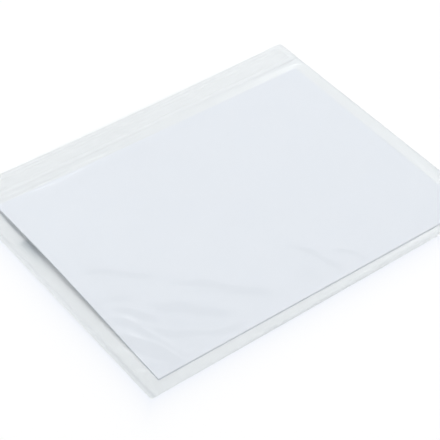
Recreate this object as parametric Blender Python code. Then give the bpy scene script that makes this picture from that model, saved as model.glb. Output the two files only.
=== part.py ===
# A clear poly mailer bag, sealed and lying flat, with a thin sheaf of white A4 paper inside.
# One web of film is folded across its width. The two panels are welded together along both
# sides, and the lip of the back panel folds over the mouth and is stuck down as the flap.
# Units are metres. X runs along the bag's long side, Y from the folded end to the flap, Z up.
# The origin is on the floor, under the middle of the bag.

import bpy
import bmesh
from math import cos, exp, hypot, pi, radians, sin

# The sheaf of paper
SHEET_WIDTH = 0.297
SHEET_DEPTH = 0.210
SHEET_THICKNESS = 0.0005
SHEET_TURN = radians(-0.58)

# The film, and the clearance between things that lie on each other
FILM = 0.00008
PANEL_GAP = 0.0003
CLEARANCE = 0.0003

# The film slopes down beside the sheaf, and ends in a flat seam on each side and at the fold
LEFT_SLOPE = 0.0115
RIGHT_SLOPE = 0.0090
FRONT_SLOPE = 0.0065
BACK_SLOPE = 0.0085
SIDE_SEAM = 0.0035
FOLD_SEAM = 0.0025
CORNER_RADIUS = 0.003

# The flap and the strip of adhesive under it
SEAL_WIDTH = 0.012
SEAL_THICKNESS = 0.0001
SEAL_FROM_FLAP_EDGE = 0.005
SEAL_FROM_MOUTH = 0.0035
SEAL_FROM_SIDE = 0.006
MOUTH_FROM_FOLD = 0.003
SLOPE_FROM_FLAP = 0.0015
BACK_BOW = 0.0022

# The sheaf's left end curls up, and its front edge stands a little proud of the film
CURL_HEIGHT = 0.0024
CURL_REACH = 0.060
CURL_PEAK = 0.62
FRONT_RISE = 0.0007
FRONT_RISE_REACH = 0.030
FRONT_RISE_PEAK = 0.25

# The bag's left seam is drawn up with it, in the middle of its run
SEAM_LIFT = 0.0014
SEAM_LIFT_REACH = 0.035
SEAM_LIFT_PEAK = 0.60

# Soft creases in the front panel, each from one place on the sheaf to another, as shares of
# its width and depth from the front left corner, then the height and the half width
CREASES = (
    (0.03, 0.52, 0.42, 0.21, 0.00035, 0.0060),
    (0.10, 0.33, 0.36, 0.05, 0.00035, 0.0055),
    (0.03, 0.27, 0.20, 0.02, 0.00030, 0.0050),
    (0.22, 0.70, 0.40, 0.56, 0.00022, 0.0060),
    (0.52, 0.22, 0.64, 0.03, 0.00035, 0.0055),
    (0.56, 0.58, 0.60, 0.30, 0.00022, 0.0060),
    (0.80, 0.05, 0.97, 0.40, 0.00025, 0.0055),
    (0.06, 0.88, 0.30, 0.82, 0.00022, 0.0060),
)

# Fineness of the meshes
GRID_STEP = 0.0105
SLOPE_STEPS = 4
SHEET_STEP = 0.016
SEAL_STEP = 0.018
FOLD_STEPS = 4
CORNER_STEPS = 3

# Sizes that follow from those above
LEFT_MARGIN = LEFT_SLOPE + SIDE_SEAM
RIGHT_MARGIN = RIGHT_SLOPE + SIDE_SEAM
FRONT_MARGIN = FRONT_SLOPE + FOLD_SEAM
FLAP_LENGTH = SEAL_FROM_FLAP_EDGE + SEAL_WIDTH + SEAL_FROM_MOUTH + MOUTH_FROM_FOLD
BACK_MARGIN = BACK_SLOPE + SLOPE_FROM_FLAP + FLAP_LENGTH
BAG_WIDTH = LEFT_MARGIN + SHEET_WIDTH + RIGHT_MARGIN
BAG_LENGTH = FRONT_MARGIN + SHEET_DEPTH + BACK_MARGIN

BAG_LEFT = -BAG_WIDTH / 2
BAG_RIGHT = BAG_WIDTH / 2
BAG_FRONT = -BAG_LENGTH / 2
BAG_BACK = BAG_LENGTH / 2
SHEET_LEFT = BAG_LEFT + LEFT_MARGIN
SHEET_RIGHT = BAG_RIGHT - RIGHT_MARGIN
SHEET_FRONT = BAG_FRONT + FRONT_MARGIN
SHEET_BACK = BAG_BACK - BACK_MARGIN
SHEET_X = (SHEET_LEFT + SHEET_RIGHT) / 2
SHEET_Y = (SHEET_FRONT + SHEET_BACK) / 2
FLAP_EDGE = BAG_BACK - FLAP_LENGTH
MOUTH = BAG_BACK - MOUTH_FROM_FOLD

# Heights of the stack over the floor, where nothing is lifted
SHEET_UNDERSIDE = FILM + CLEARANCE
SHEET_TOP = SHEET_UNDERSIDE + SHEET_THICKNESS
DRAPE_TOP = SHEET_TOP + CLEARANCE + FILM
PANEL_TOP = FILM + PANEL_GAP + FILM
SEAL_UNDERSIDE = PANEL_TOP + CLEARANCE
FLAP_TOP = SEAL_UNDERSIDE + SEAL_THICKNESS + CLEARANCE + FILM


def clamp(value, low, high):
    return max(low, min(high, value))


def smooth(share):
    """A soft step from 0 to 1."""
    share = clamp(share, 0.0, 1.0)
    return share * share * (3 - 2 * share)


def hump(value, low, high, peak):
    """0 at low and high, and 1 at the place between them that peak gives as a share."""
    top = low + (high - low) * peak
    if value < top:
        return smooth((value - low) / (top - low))
    return smooth((high - value) / (high - top))


def beyond(value, low, high):
    """How far a value lies outside a range: negative below it, positive above it."""
    return min(0.0, value - low) + max(0.0, value - high)


def seam_lift(x, y):
    """How far the whole bag is drawn up along its left seam."""
    along = hump(y, BAG_FRONT + CORNER_RADIUS, SHEET_BACK, SEAM_LIFT_PEAK)
    return SEAM_LIFT * along * smooth(1 - (x - BAG_LEFT) / SEAM_LIFT_REACH)


def sheet_lift(x, y):
    """How far the sheaf stands over the place where it would lie flat."""
    x = clamp(x, SHEET_LEFT, SHEET_RIGHT)
    y = clamp(y, SHEET_FRONT, SHEET_BACK)
    end = hump(y, SHEET_FRONT - SHEET_DEPTH / 4, SHEET_BACK + SHEET_DEPTH / 4, CURL_PEAK)
    curl = CURL_HEIGHT * end * exp(-((x - SHEET_LEFT) / CURL_REACH) ** 2)
    edge = hump(x, SHEET_LEFT - SHEET_WIDTH / 4, SHEET_RIGHT + SHEET_WIDTH / 4, FRONT_RISE_PEAK)
    rise = FRONT_RISE * edge * exp(-((y - SHEET_FRONT) / FRONT_RISE_REACH) ** 2)
    return seam_lift(x, y) + curl + rise


def crease_height(x, y):
    """The soft ridges in the front panel, which die out at their ends and at the sheaf's edges."""
    height = 0.0
    for x_from, y_from, x_to, y_to, ridge, half_width in CREASES:
        start_x = SHEET_LEFT + x_from * SHEET_WIDTH
        start_y = SHEET_FRONT + y_from * SHEET_DEPTH
        run_x = (x_to - x_from) * SHEET_WIDTH
        run_y = (y_to - y_from) * SHEET_DEPTH
        length = hypot(run_x, run_y)
        along = ((x - start_x) * run_x + (y - start_y) * run_y) / length
        across = ((x - start_x) * run_y - (y - start_y) * run_x) / length
        height += ridge * hump(along, 0.0, length, 0.5) * exp(-(across / half_width) ** 2)
    inside = max(abs(x - SHEET_X) * 2 / SHEET_WIDTH, abs(y - SHEET_Y) * 2 / SHEET_DEPTH)
    return height * smooth((1 - inside) / 0.05)


def back_panel_height(x, y):
    return seam_lift(x, y)


def front_panel_height(x, y):
    """The outside of the front panel: over the sheaf, down the slope beside it, then flat."""
    over_x = beyond(x, SHEET_LEFT, SHEET_RIGHT)
    over_y = beyond(y, SHEET_FRONT, SHEET_BACK)
    across = over_x / (LEFT_SLOPE if over_x < 0 else RIGHT_SLOPE)
    along = over_y / (FRONT_SLOPE if over_y < 0 else BACK_SLOPE)
    down = smooth(hypot(across, along))
    high = DRAPE_TOP + sheet_lift(x, y) + crease_height(x, y)
    low = PANEL_TOP + seam_lift(x, y)
    return high + (low - high) * down


def place(x, y):
    """Turns the straight layout with the sheaf, bows the back edge and rounds the corners."""
    off_x = beyond(x, SHEET_LEFT, SHEET_RIGHT)
    off_y = beyond(y, SHEET_FRONT, SHEET_BACK)
    share_x = 1 - abs(off_x) / (LEFT_MARGIN if off_x < 0 else RIGHT_MARGIN)
    share_y = 1 - abs(off_y) / (FRONT_MARGIN if off_y < 0 else BACK_MARGIN)
    turn = SHEET_TURN * share_x * share_y
    turned_x = SHEET_X + (x - SHEET_X) * cos(turn) - (y - SHEET_Y) * sin(turn)
    turned_y = SHEET_Y + (x - SHEET_X) * sin(turn) + (y - SHEET_Y) * cos(turn)
    middle = 1 - (2 * x / BAG_WIDTH) ** 2
    turned_y -= BACK_BOW * middle * smooth(1 - share_y) * (y > SHEET_Y)
    corner_x = beyond(turned_x, BAG_LEFT + CORNER_RADIUS, BAG_RIGHT - CORNER_RADIUS)
    corner_y = beyond(turned_y, BAG_FRONT + CORNER_RADIUS, BAG_BACK - CORNER_RADIUS)
    u = corner_x / CORNER_RADIUS
    v = corner_y / CORNER_RADIUS
    rounded_x = turned_x - corner_x + corner_x * (1 - v * v / 2) ** 0.5
    rounded_y = turned_y - corner_y + corner_y * (1 - u * u / 2) ** 0.5
    return rounded_x, rounded_y


def stations(start, end, step):
    """Even stations from start to end, both included, no further apart than step."""
    count = max(1, round(abs(end - start) / step))
    return [start + (end - start) * i / count for i in range(count + 1)]


def joined(*runs):
    """Runs of stations end to end, without the doubles where they meet."""
    line = list(runs[0])
    for run in runs[1:]:
        line += run[1:]
    return line


def row(bm, columns, y, height):
    """One row of the film's vertices across the bag."""
    vertices = []
    for x in columns:
        placed_x, placed_y = place(x, y)
        vertices.append(bm.verts.new((placed_x, placed_y, height(x, y))))
    return vertices


def bridge(bm, rows):
    """Joins each row of vertices to the next with a row of faces."""
    for near, far in zip(rows, rows[1:]):
        for i in range(len(near) - 1):
            bm.faces.new((near[i], near[i + 1], far[i + 1], far[i]))


def material(name, colour, roughness, alpha=1.0):
    finish = bpy.data.materials.new(name)
    finish.use_nodes = True
    shader = finish.node_tree.nodes["Principled BSDF"]
    shader.inputs["Base Color"].default_value = (*colour, 1.0)
    shader.inputs["Roughness"].default_value = roughness
    shader.inputs["Metallic"].default_value = 0.0
    shader.inputs["Alpha"].default_value = alpha
    finish.diffuse_color = (*colour, alpha)
    return finish


def finished(name, bm, finish):
    """Makes the sub-part's object from its mesh."""
    mesh = bpy.data.meshes.new(name)
    bm.to_mesh(mesh)
    bm.free()
    mesh.materials.append(finish)
    mesh.shade_smooth()
    piece = bpy.data.objects.new(name, mesh)
    bpy.context.scene.collection.objects.link(piece)
    return piece


def thicken(piece, thickness, offset):
    shell = piece.modifiers.new("thickness", "SOLIDIFY")
    shell.thickness = thickness
    shell.offset = offset
    shell.use_even_offset = True
    shell.use_rim = True


def film_columns():
    """Where the film's vertices stand across the bag, closest at the corners and slopes."""
    rim = CORNER_RADIUS / CORNER_STEPS
    left_foot = SHEET_LEFT - LEFT_SLOPE
    right_foot = SHEET_RIGHT + RIGHT_SLOPE
    return joined(
        stations(BAG_LEFT, BAG_LEFT + CORNER_RADIUS, rim),
        [BAG_LEFT + CORNER_RADIUS, left_foot] if left_foot > BAG_LEFT + CORNER_RADIUS else [left_foot],
        stations(left_foot, SHEET_LEFT, LEFT_SLOPE / SLOPE_STEPS),
        stations(SHEET_LEFT, SHEET_RIGHT, GRID_STEP),
        stations(SHEET_RIGHT, right_foot, RIGHT_SLOPE / SLOPE_STEPS),
        [right_foot, BAG_RIGHT - CORNER_RADIUS],
        stations(BAG_RIGHT - CORNER_RADIUS, BAG_RIGHT, rim),
    )


def build_film(finish):
    """The folded web of film: flap, back panel and front panel, with both sides welded."""
    bm = bmesh.new()
    columns = film_columns()
    front_rows = joined(
        stations(BAG_FRONT, BAG_FRONT + FOLD_SEAM, FOLD_SEAM / CORNER_STEPS),
        stations(BAG_FRONT + FOLD_SEAM, SHEET_FRONT, FRONT_SLOPE / SLOPE_STEPS),
        stations(SHEET_FRONT, SHEET_BACK, GRID_STEP),
        stations(SHEET_BACK, SHEET_BACK + BACK_SLOPE, BACK_SLOPE / SLOPE_STEPS),
        [SHEET_BACK + BACK_SLOPE, FLAP_EDGE, MOUTH],
    )
    back = [row(bm, columns, y, back_panel_height) for y in front_rows]
    front = [row(bm, columns, y, front_panel_height) for y in front_rows]

    fold_radius = FLAP_TOP / 2
    fold_line = BAG_BACK - fold_radius
    lip = [row(bm, columns, fold_line, lambda x, y: 0.0)]
    for i in range(1, FOLD_STEPS):
        angle = pi * i / FOLD_STEPS
        rise = fold_radius * (1 - cos(angle))
        lip.append(row(bm, columns, fold_line + fold_radius * sin(angle), lambda x, y: rise))
    for y in stations(fold_line, FLAP_EDGE, FLAP_LENGTH / 3):
        lip.append(row(bm, columns, y, lambda x, y: FLAP_TOP))

    bridge(bm, [front[-1 - i] for i in range(len(front))] + back + lip)
    for end in (0, -1):
        for j in range(len(front_rows) - 1):
            bm.faces.new((back[j][end], back[j + 1][end], front[j + 1][end], front[j][end]))

    bmesh.ops.recalc_face_normals(bm, faces=bm.faces)
    flat = [vertex for vertex in bm.verts if vertex.co.z < FILM / 100]
    between = [edge for edge in bm.edges if all(vertex in flat for vertex in edge.verts)]
    bmesh.ops.dissolve_limit(bm, angle_limit=radians(0.01), verts=flat, edges=between)
    film = finished("film_bag", bm, finish)
    thicken(film, FILM, -1)
    return film


def build_sheaf(finish):
    """The sheaf of A4 paper, lying in the bag with its left end curled up."""
    bm = bmesh.new()
    columns = stations(SHEET_LEFT, SHEET_RIGHT, SHEET_STEP)
    lines = stations(SHEET_FRONT, SHEET_BACK, SHEET_STEP)
    bridge(bm, [row(bm, columns, y, lambda x, y: SHEET_UNDERSIDE + sheet_lift(x, y)) for y in lines])
    sheaf = finished("paper_sheaf", bm, finish)
    thicken(sheaf, SHEET_THICKNESS, 1)
    return sheaf


def build_seal(finish):
    """The strip of hot melt adhesive that holds the flap to the front panel."""
    bm = bmesh.new()
    near = FLAP_EDGE + SEAL_FROM_FLAP_EDGE
    columns = stations(BAG_LEFT + SEAL_FROM_SIDE, BAG_RIGHT - SEAL_FROM_SIDE, SEAL_STEP)
    lines = stations(near, near + SEAL_WIDTH, SEAL_WIDTH / 3)
    bridge(bm, [row(bm, columns, y, lambda x, y: SEAL_UNDERSIDE) for y in lines])
    seal = finished("adhesive_strip", bm, finish)
    thicken(seal, SEAL_THICKNESS, 1)
    return seal


def main():
    for piece in list(bpy.data.objects):
        bpy.data.objects.remove(piece, do_unlink=True)
    build_film(material("clear_film", (0.80, 0.85, 0.87), 0.15, 0.3))
    build_sheaf(material("white_paper", (0.80, 0.83, 0.88), 0.75))
    build_seal(material("adhesive", (0.85, 0.86, 0.84), 0.35, 0.5))


main()
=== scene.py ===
from math import cos, radians, sin

import bmesh
import bpy
import numpy as np
from mathutils import Matrix, Vector


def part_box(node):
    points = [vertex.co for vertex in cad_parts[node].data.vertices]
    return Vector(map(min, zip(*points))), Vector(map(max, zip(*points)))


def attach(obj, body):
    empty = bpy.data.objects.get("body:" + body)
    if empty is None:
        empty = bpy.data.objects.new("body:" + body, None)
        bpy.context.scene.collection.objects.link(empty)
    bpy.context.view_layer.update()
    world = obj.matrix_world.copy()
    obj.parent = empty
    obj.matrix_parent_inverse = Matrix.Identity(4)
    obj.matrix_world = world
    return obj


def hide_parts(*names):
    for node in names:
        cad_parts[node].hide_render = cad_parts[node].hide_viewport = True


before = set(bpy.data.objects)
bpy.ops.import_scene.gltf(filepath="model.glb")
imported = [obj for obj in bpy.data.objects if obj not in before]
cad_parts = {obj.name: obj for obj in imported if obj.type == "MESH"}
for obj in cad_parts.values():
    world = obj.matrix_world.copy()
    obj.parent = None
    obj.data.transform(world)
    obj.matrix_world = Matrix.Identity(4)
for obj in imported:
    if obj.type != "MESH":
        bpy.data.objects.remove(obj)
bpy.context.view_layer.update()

# The film bag
# One web of clear 80 micron polythene film, slightly hazy. It is folded across its width at the
# front, the two panels are welded along both sides, and the long lip is turned over the mouth
# and stuck down as the flap. The film lies over the paper in long soft creases.

# The sheaf's place in the bag, and the run of film round it
SHEET_WIDTH = 0.297
SHEET_DEPTH = 0.210
SHEET_TURN = radians(-0.58)
LEFT_SLOPE = 0.0122
RIGHT_SLOPE = 0.0090
FRONT_SLOPE = 0.0074
BACK_SLOPE = 0.0068
SIDE_SEAM = 0.0035
FOLD_SEAM = 0.0025
CORNER_RADIUS = 0.003
FLAP_LENGTH = 0.0235
MOUTH_FROM_FOLD = 0.003
BACK_BOW = 0.0022

BAG_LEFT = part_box("film_bag")[0].x
BAG_RIGHT = -BAG_LEFT
BAG_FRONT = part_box("film_bag")[0].y
BAG_BACK = -BAG_FRONT
SHEET_LEFT = BAG_LEFT + LEFT_SLOPE + SIDE_SEAM
SHEET_RIGHT = SHEET_LEFT + SHEET_WIDTH
SHEET_FRONT = BAG_FRONT + FRONT_SLOPE + FOLD_SEAM
SHEET_BACK = SHEET_FRONT + SHEET_DEPTH
SHEET_X = (SHEET_LEFT + SHEET_RIGHT) / 2
SHEET_Y = (SHEET_FRONT + SHEET_BACK) / 2
FLAP_EDGE = BAG_BACK - FLAP_LENGTH
MOUTH = BAG_BACK - MOUTH_FROM_FOLD

# Heights of what lies on the floor, one on the other
FILM = 0.00008
SHEET_UNDERSIDE = 0.00014
SHEET_THICKNESS = 0.0005
DRAPE_TOP = 0.00078
PANEL_TOP = 0.00020
SEAL_UNDERSIDE = 0.00024
FLAP_TOP = 0.00046

# The paper's left end curls up, most of all two thirds of the way back, and its back corner still
# stands up. Its front edge lies a little low.
CURL_HEIGHT = 0.0025
CURL_REACH = 0.060
CURL_PEAK = 0.55
CURL_FROM_FRONT = 0.001
CURL_PAST_BACK = 0.050
FRONT_DROP = 0.0002
FRONT_DROP_REACH = 0.030
FRONT_DROP_PEAK = 0.25
FRONT_DROP_PAST_ENDS = SHEET_WIDTH / 4

# The bag is drawn up along its left weld by the curl
SEAM_LIFT = 0.0010
SEAM_LIFT_REACH = 0.035
SEAM_LIFT_PEAK = 0.45
SEAM_LIFT_FROM_FRONT = 0.005
SEAM_LIFT_FROM_BACK = 0.015

# Each crease, in millimetres: its height, its half width on the left and on the right of its run,
# and the places that it runs through, from the bag's front left corner
CREASES = (
    (0.50, 6.5, 7.0, ((24, 131), (30, 128), (37, 125), (51, 115), (59, 106), (70, 96), (80, 85))),
    (0.48, 6.5, 6.5, ((70, 96), (88, 76), (96, 69), (108, 59), (116, 48), (131, 35), (145, 22))),
    (0.39, 5.5, 6.5,
     ((46, 80), (54, 73), (60, 66), (69, 62), (77, 54), (85, 45), (93, 37), (106, 28))),
    (0.32, 4.0, 4.5, ((26, 84), (31, 79), (37, 75), (41, 69), (46, 62), (50, 54))),
    (0.62, 1.9, 5.0,
     ((16, 64), (22, 55), (25, 49), (30, 42), (34, 34), (36, 28), (38, 19), (41, 8))),
    (0.60, 1.9, 4.0,
     ((20, 80), (29, 68), (33, 60), (35, 49), (37, 43), (39, 35), (42, 25), (47, 12))),
    (0.28, 1.6, 3.0, ((36, 55), (43, 47), (52, 38), (62, 33), (72, 25))),
    (0.26, 3.0, 4.0, ((68, 28), (75, 24), (83, 21), (93, 20), (104, 17))),
    (0.35, 8.0, 9.0, ((16, 100), (26, 96), (40, 91), (52, 84))),
    (0.36, 2.0, 3.0, ((92, 92), (98, 85), (101, 78), (100, 70), (100, 61))),
    (0.46, 3.6, 5.0,
     ((164, 70), (171, 65), (178, 58), (182, 50), (187, 42), (189, 31), (192, 22), (192, 8))),
    (0.32, 2.6, 3.5, ((185, 76), (187, 66), (189, 53), (190, 38))),
    (0.38, 2.2, 3.2, ((190, 43), (197, 38), (206, 31), (211, 24), (213, 15), (216, 7))),
    (0.26, 2.5, 3.2, ((160, 40), (166, 34), (172, 26), (172, 16))),
    (0.34, 4.0, 6.0, ((190, 150), (187, 134), (182, 115), (177, 95), (178, 78))),
    (0.42, 1.6, 1.8, ((310, 78), (304, 70), (294, 57), (283, 43), (270, 30), (256, 17))),
    (0.28, 2.6, 3.0, ((296, 108), (291, 98), (288, 87), (284, 78))),
    (0.55, 6.0, 5.0, ((20, 214), (34, 213), (60, 211), (100, 214), (165, 212), (200, 214))),
    (0.36, 3.8, 3.6, ((88, 206), (86, 196), (87, 187), (92, 181), (104, 181), (118, 174))),
    (0.34, 3.5, 3.2, ((118, 166), (121, 157), (124, 145), (126, 127))),
    (0.14, 5.0, 6.0, ((30, 180), (40, 160), (52, 140), (58, 122))),
    (0.12, 4.0, 5.0, ((206, 160), (222, 172), (236, 186))),
    (0.70, 2.6, 2.6, ((5, 51), (8, 46), (12, 37), (14, 29), (16, 20))),
    (0.66, 2.4, 2.2, ((4, 26), (7, 23), (11, 20), (14, 16))),
    (0.34, 1.3, 1.6, ((6, 180), (10, 181.5), (16, 183.7), (20, 185))),
)

# A crease rises and dies out over this share of its run, and over this distance from fold and weld
CREASE_END_SHARE = 0.25
CREASE_FREE = 0.0035

# The small wrinkles beside the large creases: each set's height, spacing and start. They bend in
# two slow waves along their run, come in patches, and grow with the distance from the corner.
WRINKLES = ((0.000010, 0.0105, 0.4), (0.000007, 0.0068, 2.1), (0.0000045, 0.0047, 4.0))
WRINKLE_TURN = radians(42)
WRINKLE_BEND = 0.0030
WRINKLE_BEND_RATES = (48, 107)
PATCH_RATE_ALONG = 52
PATCH_RATE_ACROSS = 71
PATCH_START = 0.8
PATCH_MIDDLE = 0.6
PATCH_SWING = 0.4
WRINKLED_FROM = 0.015
WRINKLED_FROM_REACH = 0.020
WRINKLED_TO = 0.125
WRINKLED_TO_REACH = 0.030
WRINKLE_LEAST = 0.5
WRINKLE_GROWTH = 25


def smooth(share):
    """A soft step from 0 to 1."""
    share = np.clip(share, 0.0, 1.0)
    return share * share * (3 - 2 * share)


def hump(value, low, high, peak):
    """0 at low and high, and 1 at the place between them that peak gives as a share."""
    top = low + (high - low) * peak
    rising = smooth((value - low) / (top - low))
    falling = smooth((high - value) / (high - top))
    return np.minimum(rising, falling)


def beyond(value, low, high):
    """How far a value lies outside a range: negative below it, positive above it."""
    return np.minimum(0.0, value - low) + np.maximum(0.0, value - high)


def bag_lift(x, y):
    """How far the bag is drawn up along its left weld."""
    low = BAG_FRONT + SEAM_LIFT_FROM_FRONT
    high = SHEET_BACK - SEAM_LIFT_FROM_BACK
    along = hump(y, low, high, SEAM_LIFT_PEAK)
    return SEAM_LIFT * along * smooth(1 - (x - BAG_LEFT) / SEAM_LIFT_REACH)


def sheet_lift(x, y):
    """How far the paper stands over the place where it would lie flat."""
    x = np.clip(x, SHEET_LEFT, SHEET_RIGHT)
    y = np.clip(y, SHEET_FRONT, SHEET_BACK)
    end = hump(y, SHEET_FRONT + CURL_FROM_FRONT, SHEET_BACK + CURL_PAST_BACK, CURL_PEAK)
    curl = CURL_HEIGHT * end * np.exp(-(((x - SHEET_LEFT) / CURL_REACH) ** 2))
    low = SHEET_LEFT - FRONT_DROP_PAST_ENDS
    high = SHEET_RIGHT + FRONT_DROP_PAST_ENDS
    edge = hump(x, low, high, FRONT_DROP_PEAK)
    drop = FRONT_DROP * edge * np.exp(-(((y - SHEET_FRONT) / FRONT_DROP_REACH) ** 2))
    return bag_lift(x, y) + curl - drop


def crease_shape(x, y, half_left, half_right, places):
    """The outline across and along one crease, from 0 beside it to 1 on its crest."""
    shape = np.zeros_like(x)
    nearest = np.full_like(x, np.inf)
    points = [Vector((BAG_LEFT + px / 1000, BAG_FRONT + py / 1000)) for px, py in places]
    length = sum((b - a).length for a, b in zip(points, points[1:]))
    passed = 0.0
    for a, b in zip(points, points[1:]):
        run = b - a
        share = ((x - a.x) * run.x + (y - a.y) * run.y) / run.length_squared
        share = np.clip(share, 0.0, 1.0)
        off_x = x - a.x - share * run.x
        off_y = y - a.y - share * run.y
        distance = np.hypot(off_x, off_y)
        side = run.x * off_y - run.y * off_x
        half = np.where(side > 0, half_left, half_right) / 1000
        along = (passed + share * run.length) / length
        ends = smooth(along / CREASE_END_SHARE) * smooth((1 - along) / CREASE_END_SHARE)
        value = ends * np.exp(-((distance / half) ** 2))
        shape = np.where(distance < nearest, value, shape)
        nearest = np.minimum(nearest, distance)
        passed += run.length
    return shape


def wrinkled(x, y):
    """The height of the small wrinkles that run with the creases near the front left corner."""
    from_left = x - BAG_LEFT
    from_front = y - BAG_FRONT
    run = from_left * cos(WRINKLE_TURN) - from_front * sin(WRINKLE_TURN)
    across = from_left * sin(WRINKLE_TURN) + from_front * cos(WRINKLE_TURN)
    slow, quick = WRINKLE_BEND_RATES
    bent = across + WRINKLE_BEND * (np.sin(run * slow) + np.sin(run * quick + 1))
    waves = 0.0
    for rise, spacing, start in WRINKLES:
        waves = waves + rise * (1 + np.sin(bent * 2 * np.pi / spacing + start))
    patches = np.sin(run * PATCH_RATE_ALONG + PATCH_START) * np.sin(across * PATCH_RATE_ACROSS)
    patches = PATCH_MIDDLE + PATCH_SWING * patches
    starting = smooth((across - WRINKLED_FROM) / WRINKLED_FROM_REACH)
    ending = smooth((WRINKLED_TO - across) / WRINKLED_TO_REACH)
    return waves * patches * starting * ending * (WRINKLE_LEAST + across * WRINKLE_GROWTH)


def creased(x, y):
    """The height of all the creases together, which die out at the folds and welds."""
    height = wrinkled(x, y)
    for ridge, half_left, half_right, places in CREASES:
        height += ridge / 1000 * crease_shape(x, y, half_left, half_right, places)
    inside_x = BAG_RIGHT - np.abs(x)
    inside_y = np.minimum(y - BAG_FRONT, SHEET_BACK - y)
    return height * smooth(np.minimum(inside_x, inside_y) / CREASE_FREE)


def front_panel_height(x, y):
    """The outside of the front panel: over the paper, down beside it, then flat."""
    over_x = beyond(x, SHEET_LEFT, SHEET_RIGHT)
    over_y = beyond(y, SHEET_FRONT, SHEET_BACK)
    across = over_x / np.where(over_x < 0, LEFT_SLOPE, RIGHT_SLOPE)
    along = over_y / np.where(over_y < 0, FRONT_SLOPE, BACK_SLOPE)
    down = smooth(np.hypot(across, along))
    high = DRAPE_TOP + sheet_lift(x, y)
    low = PANEL_TOP + bag_lift(x, y)
    return high + (low - high) * down + creased(x, y)


def place(x, y):
    """Turns the straight layout with the paper, bows the back edge and rounds the corners."""
    off_x = beyond(x, SHEET_LEFT, SHEET_RIGHT)
    off_y = beyond(y, SHEET_FRONT, SHEET_BACK)
    margin_x = np.where(off_x < 0, SHEET_LEFT - BAG_LEFT, BAG_RIGHT - SHEET_RIGHT)
    margin_y = np.where(off_y < 0, SHEET_FRONT - BAG_FRONT, BAG_BACK - SHEET_BACK)
    share_x = 1 - np.abs(off_x) / margin_x
    share_y = 1 - np.abs(off_y) / margin_y
    turn = SHEET_TURN * share_x * share_y
    turned_x = SHEET_X + (x - SHEET_X) * np.cos(turn) - (y - SHEET_Y) * np.sin(turn)
    turned_y = SHEET_Y + (x - SHEET_X) * np.sin(turn) + (y - SHEET_Y) * np.cos(turn)
    middle = 1 - (x / BAG_RIGHT) ** 2
    turned_y = turned_y - BACK_BOW * middle * smooth(1 - share_y) * (y > SHEET_Y)
    corner_x = beyond(turned_x, BAG_LEFT + CORNER_RADIUS, BAG_RIGHT - CORNER_RADIUS)
    corner_y = beyond(turned_y, BAG_FRONT + CORNER_RADIUS, BAG_BACK - CORNER_RADIUS)
    round_x = np.sqrt(1 - (corner_y / CORNER_RADIUS) ** 2 / 2)
    round_y = np.sqrt(1 - (corner_x / CORNER_RADIUS) ** 2 / 2)
    return turned_x - corner_x + corner_x * round_x, turned_y - corner_y + corner_y * round_y


def stations(start, *runs):
    """Places from start on, in runs that each end at a place and have their own spacing."""
    line = [[start]]
    for end, step in runs:
        count = max(1, round(abs(end - start) / step))
        line.append(np.linspace(start, end, count + 1)[1:])
        start = end
    return np.concatenate(line)


def shaped_grid(columns, rows, marks=()):
    """A grid with a vertex for each column of each row and room for its marks, and its rows."""
    sheet = bmesh.new()
    for mark in marks:
        sheet.verts.layers.float.new(mark)
    across = len(columns)
    bmesh.ops.create_grid(sheet, x_segments=across - 1, y_segments=len(rows) - 1, size=1)
    sheet.verts.ensure_lookup_table()
    lines = [sheet.verts[i : i + across] for i in range(0, len(sheet.verts), across)]
    return sheet, lines


def set_line(line, x, y, z):
    """Lays one row of vertices in its place."""
    placed_x, placed_y = place(x, y)
    for vertex, *position in zip(line, placed_x, placed_y, z):
        vertex.co = position


# The film is divided finely where it is creased, and coarsely where it lies smooth. Each run is
# given by the place where it ends and by its spacing.
RIM_STEP = 0.00075
SLOPE_STEP = 0.0010
FLAP_STEP = 0.0019
LAST_FLAP_STEP = 0.0004
FOLD_STEPS = 6
film_columns = stations(
    BAG_LEFT,
    (BAG_LEFT + CORNER_RADIUS, RIM_STEP),
    (BAG_LEFT + 0.046, 0.00085),
    (BAG_LEFT + 0.110, 0.0015),
    (BAG_LEFT + 0.160, 0.0025),
    (BAG_LEFT + 0.216, 0.0016),
    (BAG_LEFT + 0.256, 0.0040),
    (SHEET_RIGHT - 0.005, 0.0018),
    (BAG_RIGHT - CORNER_RADIUS, SLOPE_STEP),
    (BAG_RIGHT, RIM_STEP),
)
panel_rows = stations(
    BAG_FRONT + PANEL_TOP / 2,
    (BAG_FRONT + CORNER_RADIUS, RIM_STEP),
    (BAG_FRONT + 0.066, 0.0010),
    (BAG_FRONT + 0.132, 0.0016),
    (BAG_FRONT + 0.176, 0.0030),
    (BAG_FRONT + 0.190, 0.0009),
    (SHEET_BACK - 0.002, 0.0027),
    (SHEET_BACK + BACK_SLOPE, SLOPE_STEP),
    (MOUTH, 0.0018),
)
fold_radius = PANEL_TOP / 2
flap_radius = FLAP_TOP / 2
flap_fold = BAG_BACK - flap_radius
flap_rows = stations(FLAP_EDGE, (flap_fold - LAST_FLAP_STEP, FLAP_STEP), (flap_fold, LAST_FLAP_STEP))
fold_turns = np.linspace(0, np.pi, FOLD_STEPS + 1)[1:-1]

# Each row of the web, from the flap's edge round to the mouth: its place and its height
web = [(y, FLAP_TOP, "flap") for y in flap_rows]
for turn in fold_turns:
    web.append((flap_fold + flap_radius * sin(turn), flap_radius * (1 + cos(turn)), "flap fold"))
web += [(flap_fold, 0.0, "back panel")]
web += [(y, 0.0, "back panel") for y in panel_rows[::-1]]
for turn in fold_turns:
    web.append((panel_rows[0] - fold_radius * sin(turn), fold_radius * (1 - cos(turn)), "front fold"))
web += [(y, 0.0, "front panel") for y in panel_rows]

film, film_lines = shaped_grid(film_columns, web, ("along", "across"))
along_layer = film.verts.layers.float["along"]
across_layer = film.verts.layers.float["across"]

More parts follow.
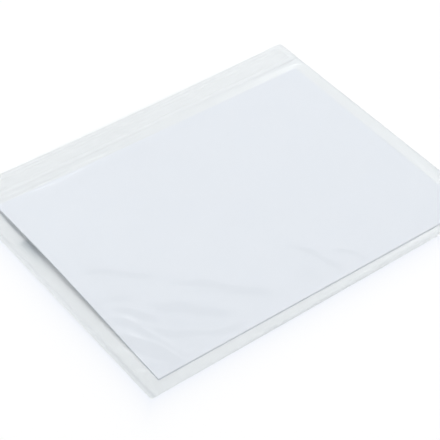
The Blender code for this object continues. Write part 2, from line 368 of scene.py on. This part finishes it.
# Each vertex also keeps its distance along and across the unfolded web, for the film's lines
along = 0.0
for i, (y, rise, part) in enumerate(web):
    rows_y = np.full_like(film_columns, y)
    if part == "front panel":
        height = front_panel_height(film_columns, rows_y)
    else:
        height = rise + bag_lift(film_columns, rows_y)
    set_line(film_lines[i], film_columns, rows_y, height)
    if i:
        last_y, last_rise = web[i - 1][:2]
        along += abs(y - last_y)
        if part in ("flap fold", "front fold"):
            along += abs(rise - last_rise)
    for vertex, x in zip(film_lines[i], film_columns):
        vertex[along_layer] = along
        vertex[across_layer] = x - BAG_LEFT

# The side welds close the gap between the panels from the front fold to the mouth
parts = [part for y, rise, part in web]
front_start = parts.index("front panel")
back_end = front_start - len(fold_turns) - 1
for column in (0, len(film_columns) - 1):
    side = [line[column] for line in film_lines]
    edges = [film.edges.get((side[i], side[i + 1])) for i in range(len(side) - 1)]
    welded = edges[back_end - len(panel_rows) + 1 : back_end] + edges[front_start:]
    bmesh.ops.bridge_loops(film, edges=welded)
    rung = film.edges.get((side[back_end], side[front_start]))
    cap = edges[back_end:front_start] + [rung]
    bmesh.ops.holes_fill(film, edges=cap, sides=len(cap))

# The flap's outer face looks up. The part of the back panel that lies flat on the table needs no
# divisions.
ON_THE_TABLE = 1e-7
bmesh.ops.recalc_face_normals(film, faces=film.faces)
film.faces.ensure_lookup_table()
flap_vertex = film_lines[len(flap_rows) // 2][len(film_columns) // 2]
if flap_vertex.link_faces[0].normal.z < 0:
    bmesh.ops.reverse_faces(film, faces=film.faces)
resting = []
for face in film.faces:
    if all(abs(corner.co.z) < ON_THE_TABLE for corner in face.verts):
        resting.append(face)
bmesh.ops.dissolve_faces(film, faces=resting)
SHARP_FROM = radians(45)


def finished_piece(name, mesh_data, finish, thickness):
    """Makes a piece of sheet from its outer face, with its real thickness behind that face."""
    bmesh.ops.solidify(mesh_data, geom=mesh_data.faces[:], thickness=thickness)
    mesh = bpy.data.meshes.new(name)
    mesh_data.to_mesh(mesh)
    mesh_data.free()
    mesh.materials.append(finish)
    mesh.shade_smooth()
    mesh.set_sharp_from_angle(angle=SHARP_FROM)
    piece = bpy.data.objects.new(name, mesh)
    bpy.context.scene.collection.objects.link(piece)
    return piece


def node(tree, kind, inputs=None, **settings):
    """Adds a node. Each input gets a plain value, or the output that feeds it."""
    new = tree.nodes.new("ShaderNode" + kind)
    for name, value in settings.items():
        setattr(new, name, value)
    for name, value in (inputs or {}).items():
        if isinstance(value, bpy.types.NodeSocket):
            tree.links.new(value, new.inputs[name])
        else:
            new.inputs[name].default_value = value
    return new


def worked(tree, operation, first, second=0.0):
    """The result of one sum."""
    return node(tree, "Math", {0: first, 1: second}, operation=operation).outputs[0]


def new_finish(name):
    """A material with its Principled shader, empty of everything else."""
    finish = bpy.data.materials.new(name)
    finish.use_nodes = True
    return finish, finish.node_tree, finish.node_tree.nodes["Principled BSDF"]


# A soft line at one distance along a surface, for the film's cut edges, folds and welds
soft_line = bpy.data.node_groups.new("soft_line", "ShaderNodeTree")
soft_line.interface.new_socket("Distance", in_out="INPUT", socket_type="NodeSocketFloat")
soft_line.interface.new_socket("Place", in_out="INPUT", socket_type="NodeSocketFloat")
soft_line.interface.new_socket("Half Width", in_out="INPUT", socket_type="NodeSocketFloat")
soft_line.interface.new_socket("Mask", in_out="OUTPUT", socket_type="NodeSocketFloat")
line_in = soft_line.nodes.new("NodeGroupInput")
line_out = soft_line.nodes.new("NodeGroupOutput")
off_line = worked(soft_line, "SUBTRACT", line_in.outputs["Distance"], line_in.outputs["Place"])
off_line = worked(soft_line, "DIVIDE", off_line, line_in.outputs["Half Width"])
fading = worked(soft_line, "MULTIPLY", worked(soft_line, "MULTIPLY", off_line, off_line), -1.0)
soft_line.links.new(worked(soft_line, "EXPONENT", fading), line_out.inputs["Mask"])

# Uneven haze and fine ripple, which rolled film and paper both have at their own sizes. The
# height keeps mostly between RIPPLE_LOW and RIPPLE_HIGH.
RIPPLE_LOW = 0.3
RIPPLE_HIGH = 0.7
RIPPLE_DISTORTION = 0.6
ripple = bpy.data.node_groups.new("ripple", "ShaderNodeTree")
ripple.interface.new_socket("Size", in_out="INPUT", socket_type="NodeSocketFloat")
ripple.interface.new_socket("Detail", in_out="INPUT", socket_type="NodeSocketFloat")
ripple.interface.new_socket("Height", in_out="OUTPUT", socket_type="NodeSocketFloat")
ripple_in = ripple.nodes.new("NodeGroupInput")
ripple_out = ripple.nodes.new("NodeGroupOutput")
ripple_place = node(ripple, "TexCoord").outputs["Object"]
ripple_scale = worked(ripple, "DIVIDE", 1.0, ripple_in.outputs["Size"])
ripple_noise = node(ripple, "TexNoise", {
    "Vector": ripple_place,
    "Scale": ripple_scale,
    "Detail": ripple_in.outputs["Detail"],
    "Distortion": RIPPLE_DISTORTION,
})
ripple.links.new(ripple_noise.outputs["Fac"], ripple_out.inputs["Height"])


def group(tree, kind, **inputs):
    """Places a node group with its own values."""
    new = tree.nodes.new("ShaderNodeGroup")
    new.node_tree = kind
    for name, value in inputs.items():
        socket = new.inputs[name.replace("_", " ")]
        if isinstance(value, bpy.types.NodeSocket):
            tree.links.new(value, socket)
        else:
            socket.default_value = value
    return new.outputs[0]


def mixed(tree, share, first, second):
    """A colour between two others, which the Mix node takes in sockets 6 and 7."""
    return node(tree, "Mix", {0: share, 6: first, 7: second}, data_type="RGBA").outputs[2]


def ranged(tree, value, low, high, to_low, to_high):
    """A value carried from one range to another and held inside it."""
    inputs = {0: value, 1: low, 2: high, 3: to_low, 4: to_high}
    return node(tree, "MapRange", inputs).outputs[0]


FILM_HAZE = (0.28, 0.36, 0.44, 1.0)
# The colour of the film's edge, weld and fold lines, which are partly painted shade where the film
# bends
FILM_EDGE_AND_BEND_SHADE = (0.16, 0.22, 0.27, 1.0)
FILM_ALPHA = 0.050
HAZE_SWING = 0.04
HAZE_SIZE = 0.045
LINE_ALPHA = 0.100
FLAP_CLEARNESS = 0.55
CLEARNESS_BLEND = 0.001
FILM_SMOOTHEST = 0.10
FILM_ROUGHEST = 0.14
FILM_GLOSS_SIZE = 0.020
FILM_BUMP_SIZE = 0.009
FILM_BUMP_HEIGHT = 0.00004
FILM_IOR = 2.3

# The front fold's dark line, which is partly painted shade, is faint on the left and full on the
# right, where it lies further in. These are distances across the bag, then the faint share and the
# inset.
FOLD_LINE_FAINT_TO = 0.03
FOLD_LINE_BENT_FROM = 0.10
FOLD_LINE_FULL_FROM = 0.25
FOLD_LINE_FAINT = 0.15
FOLD_LINE_INSET = 0.0022

film_finish, film_tree, film_shader = new_finish("clear_polythene_film")
along_film = node(film_tree, "Attribute", attribute_name="along").outputs["Fac"]
across_film = node(film_tree, "Attribute", attribute_name="across").outputs["Fac"]
web_length = along
front_fold_place = web_length - (MOUTH - BAG_FRONT)
bag_width = BAG_RIGHT - BAG_LEFT

front_fold_shade_depth = ranged(
    film_tree, across_film, FOLD_LINE_FAINT_TO, FOLD_LINE_FULL_FROM, FOLD_LINE_FAINT, 1.0
)
front_fold_inset = ranged(
    film_tree, across_film, FOLD_LINE_BENT_FROM, FOLD_LINE_FULL_FROM, 0.0, FOLD_LINE_INSET
)
front_fold_line = worked(film_tree, "ADD", front_fold_inset, front_fold_place)

# Dark lines where the film is cut, folded or welded, partly the film's own edges and welds and partly
# painted shade where the film bends: along or across the web, the place, half width, depth
FILM_LINES = (
    (along_film, 0.0, 0.0016, 0.5),
    (along_film, FLAP_LENGTH, 0.0024, 0.22),
    (along_film, front_fold_line, 0.0023, front_fold_shade_depth),
    (along_film, web_length, 0.0008, 0.25),
    (across_film, 0.0031, 0.0013, 0.28),
    (across_film, 0.0, 0.0006, 0.2),
    (across_film, bag_width, 0.0008, 0.45),
)
edge_lines_and_bend_shade = 0.0
for distance, line_place, half_width, depth in FILM_LINES:
    mask = group(film_tree, soft_line, Distance=distance, Place=line_place, Half_Width=half_width)
    edge_lines_and_bend_shade = worked(film_tree, "ADD", worked(film_tree, "MULTIPLY", mask, depth), edge_lines_and_bend_shade)
edge_lines_and_bend_shade = worked(film_tree, "MINIMUM", edge_lines_and_bend_shade, 1.0)
haze = group(film_tree, ripple, Size=HAZE_SIZE, Detail=3.0)
haze_least = FILM_ALPHA * (1 - HAZE_SWING)
haze_most = FILM_ALPHA * (1 + HAZE_SWING)
haze = ranged(film_tree, haze, RIPPLE_LOW, RIPPLE_HIGH, haze_least, haze_most)

# The flap and the film under it are pressed together and wetted by the adhesive, so they are
# clearer
lip_stop = FLAP_LENGTH * 2
lip_end = ranged(film_tree, along_film, lip_stop - CLEARNESS_BLEND, lip_stop, 1.0, 0.0)
mouth_start = web_length - (MOUTH - FLAP_EDGE)
mouth_end = ranged(film_tree, along_film, mouth_start, mouth_start + CLEARNESS_BLEND, 0.0, 1.0)
cleared = worked(film_tree, "MAXIMUM", lip_end, mouth_end)
clearness = ranged(film_tree, cleared, 0.0, 1.0, 1.0, FLAP_CLEARNESS)
haze = worked(film_tree, "MULTIPLY", haze, clearness)
# The lines make the film thicker and darker there, partly as painted shade
film_alpha = worked(film_tree, "ADD", haze, worked(film_tree, "MULTIPLY", edge_lines_and_bend_shade, LINE_ALPHA))
film_tree.links.new(film_alpha, film_shader.inputs["Alpha"])
film_colour = mixed(film_tree, edge_lines_and_bend_shade, FILM_HAZE, FILM_EDGE_AND_BEND_SHADE)
film_tree.links.new(film_colour, film_shader.inputs["Base Color"])
gloss = group(film_tree, ripple, Size=FILM_GLOSS_SIZE, Detail=2.0)
gloss = ranged(film_tree, gloss, RIPPLE_LOW, RIPPLE_HIGH, FILM_SMOOTHEST, FILM_ROUGHEST)
film_tree.links.new(gloss, film_shader.inputs["Roughness"])
film_bump = node(film_tree, "Bump", {
    "Strength": 1.0,
    "Distance": FILM_BUMP_HEIGHT,
    "Height": group(film_tree, ripple, Size=FILM_BUMP_SIZE, Detail=2.0),
})
film_tree.links.new(film_bump.outputs["Normal"], film_shader.inputs["Normal"])
film_shader.inputs["IOR"].default_value = FILM_IOR

film_bag = finished_piece("film_bag_shown", film, film_finish, FILM)
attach(film_bag, "root")
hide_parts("film_bag")

# The paper
# Five sheets of smooth white A4 office paper, bluish from their whitener, lying loose in the bag.
# They were cut in one stack, and the lower ones have slipped up to 0.8 mm towards the bag's front
# left corner. Their left end has been curled up by handling.
SHEET_COUNT = 5
SHEET_GAUGE = SHEET_THICKNESS / SHEET_COUNT
SHEET_GAP = 0.000008

# How far each sheet has slipped, from the lowest to the top one
SHEET_SLIPS = (
    (-0.0004, -0.0007),
    (-0.0002, -0.0005),
    (-0.0002, -0.0003),
    (-0.0001, -0.0001),
    (0.0, 0.0),
)
TOP_SHEET_STEP = 0.0030
UNDER_SHEET_STEP = 0.0062

sheaf = bmesh.new()
for i, (slip_x, slip_y) in enumerate(SHEET_SLIPS):
    step = TOP_SHEET_STEP if i == SHEET_COUNT - 1 else UNDER_SHEET_STEP
    sheet_columns = stations(SHEET_LEFT, (SHEET_RIGHT, step))
    sheet_rows = stations(SHEET_FRONT, (SHEET_BACK, step))
    one_sheet, sheet_lines = shaped_grid(sheet_columns, sheet_rows)
    for line, y in zip(sheet_lines, sheet_rows):
        rows_y = np.full_like(sheet_columns, y)
        height = SHEET_UNDERSIDE + (i + 1) * SHEET_GAUGE + sheet_lift(sheet_columns, rows_y)
        set_line(line, sheet_columns, rows_y, height)
    bmesh.ops.translate(one_sheet, verts=one_sheet.verts, vec=(slip_x, slip_y, 0.0))
    loose = bpy.data.meshes.new("loose_sheet")
    one_sheet.to_mesh(loose)
    one_sheet.free()
    sheaf.from_mesh(loose)
    bpy.data.meshes.remove(loose)

PAPER_WHITE = (0.818, 0.850, 0.895, 1.0)
PAPER_SHADE = (0.811, 0.845, 0.892, 1.0)
CLOUD_SIZE = 0.030
CLOUD_LOW = 0.35
CLOUD_HIGH = 0.65
FIBRE_SIZE = 0.0007
FIBRE_HEIGHT = 0.00002
PAPER_SMOOTHEST = 0.68
PAPER_ROUGHEST = 0.80

paper_finish, paper_tree, paper_shader = new_finish("white_office_paper")
cloud = group(paper_tree, ripple, Size=CLOUD_SIZE, Detail=4.0)
cloud = ranged(paper_tree, cloud, CLOUD_LOW, CLOUD_HIGH, 0.0, 1.0)
paper_colour = mixed(paper_tree, cloud, PAPER_WHITE, PAPER_SHADE)
paper_tree.links.new(paper_colour, paper_shader.inputs["Base Color"])
fibre = group(paper_tree, ripple, Size=FIBRE_SIZE, Detail=3.0)
dullness = ranged(paper_tree, fibre, RIPPLE_LOW, RIPPLE_HIGH, PAPER_SMOOTHEST, PAPER_ROUGHEST)
paper_tree.links.new(dullness, paper_shader.inputs["Roughness"])
paper_bump = node(paper_tree, "Bump", {"Strength": 0.5, "Distance": FIBRE_HEIGHT, "Height": fibre})
paper_tree.links.new(paper_bump.outputs["Normal"], paper_shader.inputs["Normal"])

paper_sheaf = finished_piece("paper_sheaf_shown", sheaf, paper_finish, SHEET_GAUGE - SHEET_GAP)
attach(paper_sheaf, "root")
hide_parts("paper_sheaf")

# The adhesive strip
# A line of clear hot melt adhesive, laid on the lip hot and pressed flat when the flap was
# closed, so that its two long edges run a little unevenly. It holds the flap to the front panel.
SEAL_WIDTH = 0.012
SEAL_THICKNESS = 0.0001
SEAL_FROM_FLAP_EDGE = 0.005
SEAL_FROM_SIDE = 0.006
SEAL_WANDER = 0.00035
SEAL_WANDER_RATES = (310, 127)
SEAL_STEP = 0.002
SEAL_ROW_COUNT = 9
SEAL_COLOUR = (0.92, 0.94, 0.95, 1.0)
SEAL_ROUGHNESS = 0.35
SEAL_THINNEST = 0.030
SEAL_THICKEST = 0.050
SMEAR_SIZE = 0.012
SMEAR_HEIGHT = 0.0001

seal_near = FLAP_EDGE + SEAL_FROM_FLAP_EDGE
seal_columns = stations(BAG_LEFT + SEAL_FROM_SIDE, (BAG_RIGHT - SEAL_FROM_SIDE, SEAL_STEP))
seal_rows = np.linspace(-1.0, 1.0, SEAL_ROW_COUNT)
seal, seal_lines = shaped_grid(seal_columns, seal_rows)
for line, share in zip(seal_lines, seal_rows):
    quick, slow = SEAL_WANDER_RATES
    wander = np.sin(seal_columns * quick + share * 2) + np.sin(seal_columns * slow - share)
    wander = SEAL_WANDER * wander
    seal_y = seal_near + SEAL_WIDTH / 2 * (1 + share) + wander * share
    lift = SEAL_UNDERSIDE + SEAL_THICKNESS + bag_lift(seal_columns, seal_y)
    set_line(line, seal_columns, seal_y, lift)

seal_finish, seal_tree, seal_shader = new_finish("clear_hot_melt")
seal_shader.inputs["Base Color"].default_value = SEAL_COLOUR
seal_shader.inputs["Roughness"].default_value = SEAL_ROUGHNESS
smear = group(seal_tree, ripple, Size=SMEAR_SIZE, Detail=3.0)
seal_alpha = ranged(seal_tree, smear, RIPPLE_LOW, RIPPLE_HIGH, SEAL_THINNEST, SEAL_THICKEST)
seal_tree.links.new(seal_alpha, seal_shader.inputs["Alpha"])
seal_bump = node(seal_tree, "Bump", {"Strength": 0.6, "Distance": SMEAR_HEIGHT, "Height": smear})
seal_tree.links.new(seal_bump.outputs["Normal"], seal_shader.inputs["Normal"])

adhesive_strip = finished_piece("adhesive_strip_shown", seal, seal_finish, SEAL_THICKNESS)
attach(adhesive_strip, "root")
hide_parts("adhesive_strip")

# The table and the studio
# A seamless white table between white walls. It is softly lit by a large box behind on the right
# with two small bright ones before it, whose edges draw the creases, and by a low box behind, a
# strip on the right and a large box overhead.
FLOOR_SIZE = 6.0
FLOOR_DROP = 0.00015
FLOOR_COLOUR = (0.80, 0.80, 0.80, 1.0)
FLOOR_GLOW = 0.21
WORLD_LOW = 0.36
WORLD_HIGH = 0.77

table = bmesh.new()
bmesh.ops.create_grid(table, x_segments=1, y_segments=1, size=FLOOR_SIZE / 2)
bmesh.ops.translate(table, verts=table.verts, vec=(0.0, 0.0, -FLOOR_DROP))
table_mesh = bpy.data.meshes.new("white_table")
table.to_mesh(table_mesh)
table.free()
white_table = bpy.data.objects.new("white_table", table_mesh)
bpy.context.scene.collection.objects.link(white_table)
table_finish = bpy.data.materials.new("white_table")
table_finish.use_nodes = True
table_tree = table_finish.node_tree
table_tree.nodes.remove(table_tree.nodes["Principled BSDF"])


def seen_directly(tree):
    """1 for what the camera sees, straight or in gloss or through glass, and 0 for light."""
    path = node(tree, "LightPath").outputs
    seen = worked(tree, "ADD", path["Is Camera Ray"], path["Is Glossy Ray"])
    seen = worked(tree, "ADD", seen, path["Is Transmission Ray"])
    return worked(tree, "MINIMUM", seen, 1.0)


# The table is painted with shade: the mailer's soft painted shadow, which reaches out in front and
# on the left, a painted shade for the dimmer light under the film, a painted shade under the paper's
# curled end, and a thin painted shade that follows the paper's left edge to its back corner
WHITE = (1.0, 1.0, 1.0, 1.0)
SHADOW_COLOUR = (0.870, 0.902, 0.965, 1.0)
SHADOW_SHIFT = 0.014
SHADOW_REACH = 0.0105
SHADOW_AT_EDGE = 0.224
UNDER_FILM_SHADE_COLOUR = (0.928, 0.949, 0.952, 1.0)
CURL_SHADE_COLOUR = (0.34, 0.40, 0.44, 1.0)
CURL_SHADE_DEPTH = 0.60
CURL_SHADE_X = BAG_LEFT + 0.015
CURL_SHADE_Y = BAG_FRONT + 0.176
CURL_SHADE_ACROSS = 0.0055
CURL_SHADE_FRONT = 0.022
CURL_SHADE_BACK = 0.0045
EDGE_SHADE_DEPTH = 0.50
EDGE_SHADE_X = BAG_LEFT + 0.0155
EDGE_SHADE_Y = BAG_FRONT + 0.200
EDGE_SHADE_ACROSS = 0.0013
EDGE_SHADE_ALONG = 0.022

table_place = node(table_tree, "SeparateXYZ", {0: node(table_tree, "TexCoord").outputs["Object"]})


def soft_spot(centre_x, centre_y, across, front, back):
    """1 at a place on the table, dying out over its own reach to the sides, front and back."""
    off_x = worked(table_tree, "SUBTRACT", table_place.outputs["X"], centre_x)
    off_x = worked(table_tree, "DIVIDE", off_x, across)
    off_y = worked(table_tree, "SUBTRACT", table_place.outputs["Y"], centre_y)
    off_front = worked(table_tree, "DIVIDE", off_y, -front)
    off_back = worked(table_tree, "DIVIDE", off_y, back)
    off_y = worked(table_tree, "MAXIMUM", off_front, off_back)
    squares = [worked(table_tree, "MULTIPLY", value, value) for value in (off_x, off_y)]
    spread = worked(table_tree, "ADD", *squares)
    return worked(table_tree, "EXPONENT", worked(table_tree, "MULTIPLY", spread, -1.0))


# The painted shadow: darkest under the bag and fading out beyond it, shifted towards the front left
outside = []
beside = []
for axis, half in (("X", BAG_RIGHT), ("Y", BAG_BACK)):
    from_middle = worked(table_tree, "ABSOLUTE", table_place.outputs[axis])
    beside.append(worked(table_tree, "SUBTRACT", from_middle, half))
    centred = worked(table_tree, "ADD", table_place.outputs[axis], SHADOW_SHIFT)
    outside.append(worked(table_tree, "SUBTRACT", worked(table_tree, "ABSOLUTE", centred), half))
outer = [worked(table_tree, "MAXIMUM", value, 0.0) for value in outside]
outer_squares = [worked(table_tree, "MULTIPLY", value, value) for value in outer]
outer_distance = worked(table_tree, "SQRT", worked(table_tree, "ADD", *outer_squares))
inner_distance = worked(table_tree, "MINIMUM", worked(table_tree, "MAXIMUM", *outside), 0.0)
shadow_distance = worked(table_tree, "ADD", inner_distance, outer_distance)
shadow_fading = worked(table_tree, "DIVIDE", shadow_distance, -SHADOW_REACH)
shadow_fading = worked(table_tree, "EXPONENT", shadow_fading)
shadow_depth = worked(table_tree, "MULTIPLY", shadow_fading, SHADOW_AT_EDGE)
under_bag = worked(table_tree, "LESS_THAN", worked(table_tree, "MAXIMUM", *beside), 0.0)
# Painted shade on the table under the paper's curled end and along its left edge
curl_shade_spot = soft_spot(CURL_SHADE_X, CURL_SHADE_Y, CURL_SHADE_ACROSS, CURL_SHADE_FRONT, CURL_SHADE_BACK)
edge_shade_spot = soft_spot(EDGE_SHADE_X, EDGE_SHADE_Y, EDGE_SHADE_ACROSS, EDGE_SHADE_ALONG, EDGE_SHADE_ALONG)
painted_curl_shade = worked(table_tree, "MULTIPLY", curl_shade_spot, CURL_SHADE_DEPTH)
painted_edge_shade = worked(table_tree, "MULTIPLY", edge_shade_spot, EDGE_SHADE_DEPTH)
painted_curl_shade = worked(table_tree, "MAXIMUM", painted_curl_shade, painted_edge_shade)
painted_curl_shade = worked(table_tree, "MULTIPLY", painted_curl_shade, under_bag)
# The table's white, darkened by the painted shadow, the painted shade under the film and the painted
# shade under the curl
table_colour_with_painted_shade = mixed(table_tree, shadow_depth, WHITE, SHADOW_COLOUR)
table_colour_with_painted_shade = mixed(table_tree, under_bag, table_colour_with_painted_shade, UNDER_FILM_SHADE_COLOUR)
table_colour_with_painted_shade = mixed(table_tree, painted_curl_shade, table_colour_with_painted_shade, CURL_SHADE_COLOUR)
dimming = {0: 1.0, 6: table_colour_with_painted_shade, 7: FLOOR_COLOUR}
floor_colour_with_painted_shade = node(table_tree, "Mix", dimming, data_type="RGBA", blend_type="MULTIPLY").outputs[2]
table_paint = node(table_tree, "BsdfDiffuse", {"Color": floor_colour_with_painted_shade}).outputs[0]
table_seen = worked(table_tree, "MULTIPLY", seen_directly(table_tree), FLOOR_GLOW)
table_glow = node(table_tree, "Emission", {"Color": table_colour_with_painted_shade, "Strength": table_seen}).outputs[0]
table_sum = node(table_tree, "AddShader", {0: table_paint, 1: table_glow}).outputs[0]
table_tree.links.new(table_sum, table_tree.nodes["Material Output"].inputs["Surface"])
table_mesh.materials.append(table_finish)

studio = bpy.data.worlds.new("white_studio")
studio.use_nodes = True
bpy.context.scene.world = studio
studio_tree = studio.node_tree
background = studio_tree.nodes["Background"]
background.inputs["Color"].default_value = WHITE
studio_way = node(studio_tree, "TexCoord").outputs["Generated"]
studio_way = node(studio_tree, "SeparateXYZ", {0: studio_way})
studio_fill = ranged(studio_tree, studio_way.outputs["Z"], 0.0, 1.0, WORLD_LOW, WORLD_HIGH)
studio_light = worked(studio_tree, "MAXIMUM", studio_fill, seen_directly(studio_tree))
studio_tree.links.new(studio_light, background.inputs["Strength"])

# Each soft box: its share of the light on the table, its width and height, the bearing from +Y
# towards +X and the elevation that it shines from, and its distance
SOFT_BOXES = (
    ("box_behind_right", 0.190, 11.9, 6.1, 37.0, 38.4, 14.0),
    ("small_bright_box", 0.028, 2.2, 2.0, 42.0, 30.0, 13.3),
    ("small_left_box", 0.040, 3.6, 2.1, 20.0, 29.5, 13.3),
    ("low_box_behind", 0.048, 9.3, 2.2, 47.0, 20.5, 14.0),
    ("strip_on_right", 0.028, 1.9, 4.5, 66.0, 38.0, 14.0),
    ("box_overhead", 0.079, 10.5, 10.5, 20.0, 82.0, 14.0),
)
for name, share, width, height, bearing, elevation, distance in SOFT_BOXES:
    lamp = bpy.data.lights.new(name, "AREA")
    lamp.shape = "RECTANGLE"
    lamp.size = width
    lamp.size_y = height
    steepness = sin(radians(elevation))
    level = cos(radians(elevation))
    # The power at which a white table, lit by this box alone, shows as bright as the box's share
    lamp.energy = share * np.pi**2 * distance**2 / steepness
    box = bpy.data.objects.new(name, lamp)
    towards = Vector((sin(radians(bearing)) * level, cos(radians(bearing)) * level, steepness))
    box.location = towards * distance
    box.rotation_mode = "QUATERNION"
    box.rotation_quaternion = towards.to_track_quat("Z", "Y")
    box.visible_camera = False
    bpy.context.scene.collection.objects.link(box)

# The camera
# It looks down from the front left. The sizes were found by fitting the edges of the bag and of
# the A4 sheet in the photograph.
LENS = 131.4
SENSOR = 36.0
NEAREST_SEEN = 0.05
FARTHEST_SEEN = 20.0
LOOK_DOWN = radians(44.17)
LOOK_ROUND = radians(40.54)
LOOK_ROLL = radians(3.37)
LOOK_FROM = 1.2285
LOOK_AT = Vector((-0.0151, -0.0153, 0.0))

ahead = Vector((sin(LOOK_ROUND), cos(LOOK_ROUND), 0.0))
sideways = Vector((cos(LOOK_ROUND), -sin(LOOK_ROUND), 0.0))
upright = Vector((0.0, 0.0, 1.0))
forward = ahead * cos(LOOK_DOWN) - upright * sin(LOOK_DOWN)
upward = ahead * sin(LOOK_DOWN) + upright * cos(LOOK_DOWN)
image_right = sideways * cos(LOOK_ROLL) + upward * sin(LOOK_ROLL)
image_up = upward * cos(LOOK_ROLL) - sideways * sin(LOOK_ROLL)
camera_data = bpy.data.cameras.new("camera")
camera_data.lens = LENS
camera_data.sensor_width = SENSOR
camera_data.clip_start = NEAREST_SEEN
camera_data.clip_end = FARTHEST_SEEN
camera = bpy.data.objects.new("camera", camera_data)
turned = Matrix((image_right, image_up, -forward)).transposed().to_4x4()
camera.matrix_world = Matrix.Translation(LOOK_AT - forward * LOOK_FROM) @ turned
bpy.context.scene.collection.objects.link(camera)
bpy.context.scene.camera = camera

# Enough for light to pass all the clear layers that lie on each other
CLEAR_LAYERS = 64
bpy.context.scene.view_settings.view_transform = "Standard"
bpy.context.scene.cycles.transparent_max_bounces = CLEAR_LAYERS
